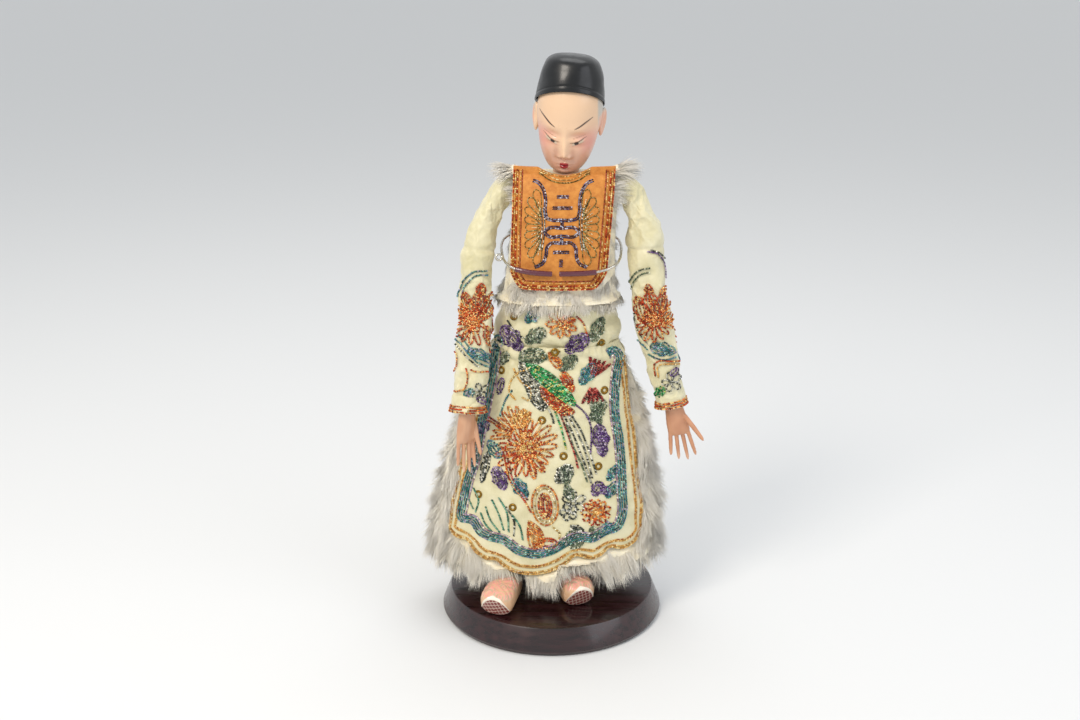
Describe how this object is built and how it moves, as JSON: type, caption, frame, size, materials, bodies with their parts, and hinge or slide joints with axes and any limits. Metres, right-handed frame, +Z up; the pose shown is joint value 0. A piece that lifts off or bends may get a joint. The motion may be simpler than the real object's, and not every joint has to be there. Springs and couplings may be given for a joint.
{
  "type": "costumed figure on a doll stand",
  "caption": "Costumed opera figure with painted head, hands and shoes, in an embroidered cream silk robe with orange chest panel and white fur trim, held by a waist clamp on a dark wooden stand",
  "frame": {"origin": "Centre of the stand's flat underside.", "axes": "+Z up along the figure, -Y the way the figure faces, +X to the figure's own left."},
  "size_m": [0.1405, 0.115, 0.2858],
  "materials": {
    "stand_wood": "dark reddish-brown lacquer, glossy on top and satin on the sloping side",
    "steel": "bright drawn wire and rod",
    "grip_vinyl": "maroon vinyl sleeving",
    "painted_face": "pale flesh paint under clear varnish",
    "black_lacquer": "black lacquer",
    "cream_silk": "cream silk satin, a little greenish, soft sheen",
    "painted_hands": "peach flesh paint under varnish",
    "white_fur": "white rabbit-like fur with grey-green shadows",
    "orange_cloth": "orange woven cloth with a gold cast",
    "metal_braid": "braid of twisted gold and red metal thread",
    "leg_cloth": "plain cream cotton",
    "painted_shoes": "tan paint with coral swirls, white edge and dark red sole"
  },
  "bodies": {
    "root": {"stand_base": "stand_wood", "stand_rod": "steel", "rod_collar": "steel", "clamp_wire": "steel", "clamp_grip_right": "grip_vinyl", "clamp_grip_left": "grip_vinyl", "head": "painted_face", "cap": "black_lacquer", "robe_body": "cream_silk", "sleeve_right": "cream_silk", "sleeve_left": "cream_silk", "hand_right": "painted_hands", "hand_left": "painted_hands", "fur_vest": "white_fur", "chest_panel": "orange_cloth", "back_panel": "orange_cloth", "chest_braid": "metal_braid", "skirt_front": "cream_silk", "skirt_back": "cream_silk", "skirt_braid": "metal_braid", "skirt_fur_front": "white_fur", "skirt_fur_back": "white_fur", "leg_right": "leg_cloth", "leg_left": "leg_cloth", "shoe_right": "painted_shoes", "shoe_left": "painted_shoes"}
  },
  "joints": []
}
